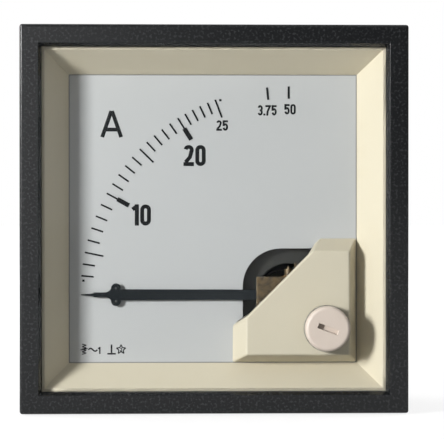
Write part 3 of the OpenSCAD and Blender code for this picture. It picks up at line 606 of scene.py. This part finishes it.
# ---------------------------------------------------------------- terminal studs
# Two brass studs with a rolled M5 thread and a chamfered end. Each hangs by a hexagon
# head inside the case and passes out through its floor.
thread_pitch = 0.8
thread_crest, thread_root = 2.5, 2.02
thread_half = thread_pitch * 0.46    # half a ridge's width at its foot
thread_sunk = 0.05       # how deep that foot lies in the core
thread_start = 42.0      # the case's outer face
thread_short = 0.9       # the plain tip beyond the last turn
stud_chamfer = 0.4
head_depth = 2.0

low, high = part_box("terminal_stud_left")
start, end = low.y, high.y
bpy.ops.object.select_all(action="DESELECT")
bpy.ops.mesh.primitive_cylinder_add(vertices=48, radius=thread_root * MM, depth=end - start)
core = bpy.context.object
core.location.z = (start + end) / 2
bevel = core.modifiers.new("chamfer", "BEVEL")
bevel.width = stud_chamfer * MM
bevel.limit_method = "ANGLE"
bevel.angle_limit = math.radians(60)
bpy.ops.object.modifier_apply(modifier=bevel.name)
bpy.ops.mesh.primitive_cylinder_add(
    vertices=6, radius=(high.x - low.x) / 2, depth=head_depth * MM)
head = bpy.context.object
head.location.z = start + head_depth / 2 * MM
bpy.ops.mesh.primitive_circle_add(vertices=3)
ridge = bpy.context.object
foot = thread_root - thread_sunk
corners = [(foot, -thread_half), (thread_crest, 0), (foot, thread_half)]
for vertex, (r, z) in zip(ridge.data.vertices, corners):
    vertex.co = (r * MM, 0, z * MM)
screw = ridge.modifiers.new("thread", "SCREW")
screw.screw_offset = thread_pitch * MM
screw.iterations = int((end / MM - thread_short - thread_start) / thread_pitch)
screw.steps = screw.render_steps = 32
screw.use_merge_vertices = False
bpy.ops.object.modifier_apply(modifier=screw.name)
ridge.location.z = (thread_start + thread_half) * MM
bpy.ops.object.mode_set(mode="EDIT")
bpy.ops.mesh.select_all(action="DESELECT")
bpy.ops.mesh.select_mode(type="VERT")
bpy.ops.mesh.select_non_manifold()
bpy.ops.mesh.fill_holes(sides=4)
bpy.ops.mesh.select_all(action="SELECT")
bpy.ops.mesh.normals_make_consistent(inside=False)
bpy.ops.object.mode_set(mode="OBJECT")
for part in (core, head, ridge):
    part.select_set(True)
bpy.context.view_layer.objects.active = core
bpy.ops.object.join()
core.rotation_euler = (-math.pi / 2, 0, 0)
core.location = (0, core.location.z, 0)
bpy.ops.object.transform_apply()
bpy.ops.object.shade_smooth_by_angle(angle=smooth_within)
core.data.materials.clear()
core.data.materials.append(brass.material)

for side in ("left", "right"):
    low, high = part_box(f"terminal_stud_{side}")
    stud = bpy.data.objects.new(f"threaded_stud_{side}", core.data.copy())
    bpy.context.scene.collection.objects.link(stud)
    for vertex in stud.data.vertices:
        vertex.co.x += (low.x + high.x) / 2
    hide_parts(f"terminal_stud_{side}")
    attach(stud, "housing")
bpy.data.objects.remove(core)


# ---------------------------------------------------------------- jewels
# Two cups ground from red synthetic sapphire, pressed into the bearing screws. They
# are polished and deeper red where the stone is thick.
ruby_red = (0.52, 0.015, 0.05)
ruby_deep = (0.22, 0.004, 0.02)

ruby = Finish("ruby", ruby_red, 0.06, {"IOR": 1.76})
ruby.feed("Base Color", ruby.tint(ruby.grain(0.6, 2.0), ruby_red, ruby_deep))
ruby.feed("Roughness", 0.05 + ruby.grain(0.2, 2.0) * 0.05)
ruby.cover("bearing_jewels")


# ---------------------------------------------------------------- pointer
# Cut from thin aluminium sheet, cranked towards the dial just outside the opening, and
# sprayed matt black. The paint has a fine tooth that greys it where light grazes it.
crank = 0.85                 # how far the blade steps towards the dial
crank_from = (9.4, 10.4)     # where the step starts and ends, from the pivot
near_hub = 2                 # what lies nearer the pivot than this keeps its width
slack = 0.006                # within which two places are the same
# Half widths of the blade, the narrow bar, the needle and its tip, and how each widens.
widenings = ((0.93, 1.10), (0.36, 1.20), (0.15, 1.60), (0.05, 1.80))
pointer_black = (0.0050, 0.0070, 0.0085)
pointer_grey = (0.010, 0.013, 0.015)

black_aluminium = Finish("black_aluminium", pointer_black, 0.6, {"Specular IOR Level": 0.1})
tooth = black_aluminium.grain(0.18, 3.0)
black_aluminium.feed("Base Color", black_aluminium.tint(
    tooth * 0.4 + black_aluminium.grain(5.0, 2.0) * 0.2, pointer_black, pointer_grey))
black_aluminium.feed("Roughness", 0.6 + tooth * 0.2)
black_aluminium.relief(tooth, 0.008, 0.04)

pointer = remodelled("pointer", "pointer_blade", "rotor", black_aluminium)
for half_width, wider in widenings:
    for vertex in pointer.data.vertices:
        off = abs(vertex.co.z / MM - pivot[1])
        outside = vertex.co.x / MM < pivot[0] - near_hub
        vertex.select = outside and abs(off - half_width) < slack
    bpy.ops.object.mode_set(mode="EDIT")
    bpy.ops.transform.resize(value=(1, 1, wider), center_override=(0, 0, pivot[1] * MM))
    bpy.ops.mesh.select_all(action="DESELECT")
    bpy.ops.object.mode_set(mode="OBJECT")
bpy.ops.object.mode_set(mode="EDIT")
for from_pivot in crank_from:
    bpy.ops.mesh.select_all(action="SELECT")
    bpy.ops.mesh.bisect(plane_co=((pivot[0] - from_pivot) * MM, 0, 0), plane_no=(1, 0, 0))
bpy.ops.mesh.select_all(action="DESELECT")
bpy.ops.object.mode_set(mode="OBJECT")
for vertex in pointer.data.vertices:
    vertex.select = vertex.co.x / MM < pivot[0] - crank_from[1] + slack
bpy.ops.object.mode_set(mode="EDIT")
bpy.ops.transform.translate(value=(0, crank * MM, 0))
bpy.ops.mesh.select_all(action="DESELECT")
bpy.ops.object.mode_set(mode="OBJECT")
bpy.ops.object.shade_smooth_by_angle(angle=smooth_within)


# ---------------------------------------------------------------- damping vane
# A leaf of bare aluminium foil on the spindle, rolled bright on one face. It is
# slightly rippled and finger marked.
vane_bright = (0.60, 0.60, 0.61)
vane_marked = (0.44, 0.44, 0.45)

bare_aluminium = Finish("bare_aluminium", vane_bright, 0.3, {"Metallic": 1.0})
smears = bare_aluminium.ease(bare_aluminium.grain(2.0, 3.0), 0.45, 0.7)
bare_aluminium.feed("Base Color", bare_aluminium.tint(smears, vane_bright, vane_marked))
bare_aluminium.feed("Roughness", 0.22 + smears * 0.2)
bare_aluminium.relief(bare_aluminium.grain(1.5, 2.0), 0.03)
bare_aluminium.cover("damping_vane")


# ---------------------------------------------------------------- hairspring
# A flat spiral of phosphor bronze strip, blued slightly brown by heat and soldered to
# the lever's stud. Its faces are rolled smooth.
bronze = (0.50, 0.30, 0.14)
bronze_heated = (0.28, 0.15, 0.09)

spring_bronze = Finish("spring_bronze", bronze, 0.3, {"Metallic": 1.0})
heat = spring_bronze.ease(spring_bronze.grain(1.8, 3.0), 0.4, 0.7)
spring_bronze.feed("Base Color", spring_bronze.tint(heat, bronze, bronze_heated))
spring_bronze.feed("Roughness", 0.24 + heat * 0.14)
spring_bronze.relief(spring_bronze.grain(0.1, 2.0), 0.004)
spring_bronze.cover("hairspring")


# ---------------------------------------------------------------- zero adjuster
# A slotted knob moulded in pale pinkish nylon. It is waxy and semi-matt, with scuffs
# round the slot where a screwdriver has slipped.
nylon = (0.560, 0.488, 0.425)
nylon_worn = (0.440, 0.362, 0.300)

adjuster_plastic = Finish("adjuster_plastic", nylon, 0.42, {"Specular IOR Level": 0.45})
waxy = adjuster_plastic.grain(2.2, 4.0)
nicks = adjuster_plastic.ease(adjuster_plastic.grain(0.3, 3.0), 0.6, 0.8)
adjuster_plastic.feed("Base Color", adjuster_plastic.tint(
    waxy * 0.35 + nicks * 0.2, nylon, nylon_worn))
adjuster_plastic.feed("Roughness", 0.36 + waxy * 0.12 + nicks * 0.1)
adjuster_plastic.relief(waxy * 0.5 + nicks * 0.3, 0.012, 0.1)
adjuster_plastic.cover("zero_adjuster")


# ---------------------------------------------------------------- floor
# The meter stands on the lower edge of its bezel, on a plain white table. The table's
# glow shows to the eye and in gloss and glass, and adds no other light.
table_grey = (0.25, 0.25, 0.25)
table_below = 0.2 * MM       # the gap that keeps the bezel clear of it
glow_near, glow_far = 0.78, 1.0
glow_reach = (0.08, 0.40)    # metres from the middle over which the glow grows

bpy.ops.object.select_all(action="DESELECT")
bpy.ops.mesh.primitive_plane_add(size=6)
floor = bpy.context.object
floor.name = "floor"
for vertex in floor.data.vertices:
    vertex.co.z = cad_low.z - table_below

table_white = Finish("table_white", table_grey, 0.9,
                     {"Specular IOR Level": 0.0, "Emission Strength": 1.0})
rays = table_white.node("ShaderNodeLightPath")
seen = rays.out("Is Camera Ray") + rays.out("Is Glossy Ray") + rays.out("Is Transmission Ray")
far = table_white.node("ShaderNodeVectorMath", {"operation": "LENGTH"}, {0: table_white.place})
glow = table_white.ease(far.out("Value"), *glow_reach, glow_near, glow_far)
table_white.feed("Emission Color", table_white.tint(seen * glow, (0, 0, 0), (1, 1, 1)))
under = table_white.node("ShaderNodeNewGeometry").out("Backfacing")
clear = table_white.node("ShaderNodeBsdfTransparent")
table_white.show(table_white.blend(under, table_white.look, clear))
floor.data.materials.append(table_white.material)
floor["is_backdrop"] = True


# ---------------------------------------------------------------- light
# One small softbox on the left and a little above lights the front, in a dim white room.
# Two wide ones behind the panel plane light the case and never reach the dial.
room_level = 0.30
glossy_dim = 0.02        # what gloss mirrors of the room on the right
glossy_bright = 2.8      # on the left
glossy_above = 0.6       # above
glossy_behind = 1.0      # and behind the panel plane
white = 1.0              # what the camera sees, also through the window

world = bpy.data.worlds.new("room")
bpy.context.scene.world = world
world.use_nodes = True
room = Nodes(world.node_tree)


def walls(strength):
    """White walls of one strength."""
    return room.node("ShaderNodeBackground", None, {"Color": (1, 1, 1, 1), "Strength": strength})


rays = room.node("ShaderNodeLightPath")
toward = room.node("ShaderNodeSeparateXYZ", None,
                   {0: room.node("ShaderNodeTexCoord").out("Generated")})
left = room.ease(toward.out("X"), 0.01, -0.035)
above = room.ease(toward.out("Z"), 0.10, 0.30)
behind = room.ease(toward.out("Y"), -0.4, 0.4)
glossy = room.blend(left, walls(glossy_dim), walls(glossy_bright))
glossy = room.blend(above, glossy, walls(glossy_above))
glossy = room.blend(behind, glossy, walls(glossy_behind))
light = room.blend(rays.out("Is Glossy Ray"), walls(room_level), glossy)
light = room.blend(rays.out("Is Transmission Ray"), light, walls(white))
light = room.blend(rays.out("Is Camera Ray"), light, walls(white))
room.show(light, "World Output")


def softbox(name, wide, high, direction, distance, power):
    """An area lamp that faces the meter from a direction."""
    bpy.ops.object.light_add(type="AREA")
    lamp = bpy.context.object
    lamp.name = name
    lamp.data.shape = "RECTANGLE"
    lamp.data.size = wide
    lamp.data.size_y = high
    lamp.data.energy = power
    way = Vector(direction).normalized()
    lamp.location = way * distance
    lamp.rotation_euler = way.to_track_quat("Z", "Y").to_euler()


softbox("key_softbox", 0.10, 0.12, (-0.70, -0.675, 0.20), 0.6, 5.2)
softbox("left_rear_softbox", 0.8, 0.7, (-0.7, 0.75, 0.6), 0.8, 5.0)
softbox("right_rear_softbox", 0.8, 0.7, (0.8, 0.5, 0.7), 0.8, 4.0)


# ---------------------------------------------------------------- camera
# A long lens almost square to the front, a little to the left of the meter's middle and
# about half a metre away.
turn, rise = math.radians(2.2), math.radians(0.5)
away = 0.470
aim = Vector((1.33 * MM, cad_low.y, -0.06 * MM))
lens = 206.5

bpy.ops.object.camera_add()
camera = bpy.context.object
camera.name = "camera"
level = math.cos(rise)
back = Vector((-math.sin(turn) * level, -math.cos(turn) * level, math.sin(rise)))
camera.location = aim + back * away
camera.rotation_euler = back.to_track_quat("Z", "Y").to_euler()
camera.data.sensor_width = 36
camera.data.lens = lens
camera.data.clip_start = 0.01
bpy.context.scene.camera = camera

bpy.context.scene.view_settings.view_transform = "Standard"

low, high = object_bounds()
